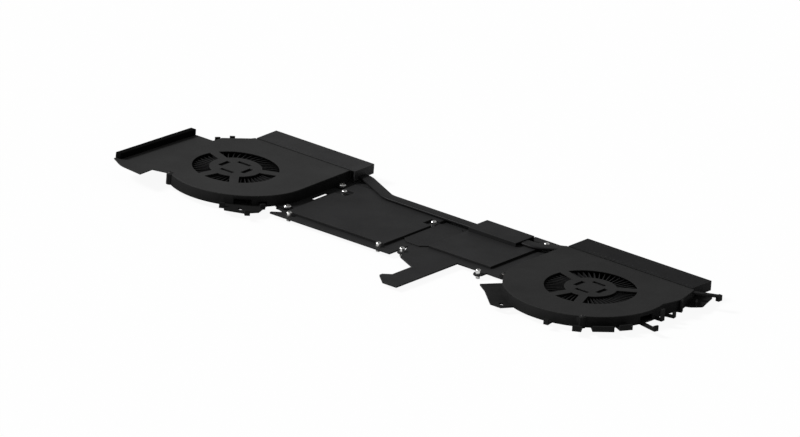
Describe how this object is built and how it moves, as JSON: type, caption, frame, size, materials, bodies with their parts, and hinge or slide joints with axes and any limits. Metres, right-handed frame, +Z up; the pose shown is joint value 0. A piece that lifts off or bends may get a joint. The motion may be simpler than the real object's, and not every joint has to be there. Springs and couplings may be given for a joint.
{
  "type": "laptop cooling module",
  "caption": "Laptop cooling module: thin centrifugal fans with finned exhausts, joined by flattened heat pipes, spreader plates and carriers with captive screws.",
  "frame": {"origin": "centre of the bounding box in plan, on the plane of the two chip contact faces", "axes": "+X from the left fan to the right fan, +Y towards the exhaust fins, +Z up through the fan inlets"},
  "size_m": [0.292, 0.104, 0.0108],
  "materials": {
    "cover": "satin black paint on pressed sheet",
    "housing": "fine moulded texture",
    "impeller": "moulded, slightly glossy",
    "fins": "black coated thin sheet",
    "carrier": "black coated steel sheet",
    "spreader": "black coated copper plate",
    "pipe": "black coated flattened tube",
    "copper": "bare milled copper",
    "screw": "bright plated",
    "black_screw": "black oxide",
    "steel": "ground",
    "magnet": "bonded magnet",
    "bronze": "sintered bronze",
    "lamination": "stamped sheets",
    "winding": "enamelled copper wire",
    "board": "solder mask",
    "foam": "closed-cell foam"
  },
  "bodies": {
    "module": {"left_fan_cover": "cover", "left_fan_housing": "housing", "left_bearing_sleeve": "bronze", "left_stator_core": "lamination", "left_stator_coils": "winding", "left_motor_board": "board", "left_fin_stack": "fins", "left_carrier_plate": "carrier", "left_heat_spreader": "spreader", "left_contact_block": "copper", "left_heat_pipe": "pipe", "left_captive_screws": "screw", "right_fan_cover": "cover", "right_fan_housing": "housing", "right_bearing_sleeve": "bronze", "right_stator_core": "lamination", "right_stator_coils": "winding", "right_motor_board": "board", "right_fin_stack": "fins", "right_carrier_plate": "carrier", "right_heat_spreader": "spreader", "right_contact_block": "copper", "right_heat_pipe": "pipe", "right_captive_screws": "screw", "pipe_bridge": "carrier", "link_sheet": "carrier", "gasket_strip": "foam"},
    "left_rotor": {"left_impeller": "impeller", "left_rotor_magnet": "magnet", "left_rotor_shaft": "steel"},
    "right_rotor": {"right_impeller": "impeller", "right_rotor_magnet": "magnet", "right_rotor_shaft": "steel"}
  },
  "joints": [
    {"name": "left_impeller_spin", "type": "hinge", "parent": "module", "child": "left_rotor", "pos_m": [-0.102, 0.0016, 0.005], "axis": [0, 0, 1], "continuous": true},
    {"name": "right_impeller_spin", "type": "hinge", "parent": "module", "child": "right_rotor", "pos_m": [0.0995, 0.003, 0.005], "axis": [0, 0, 1], "continuous": true}
  ]
}
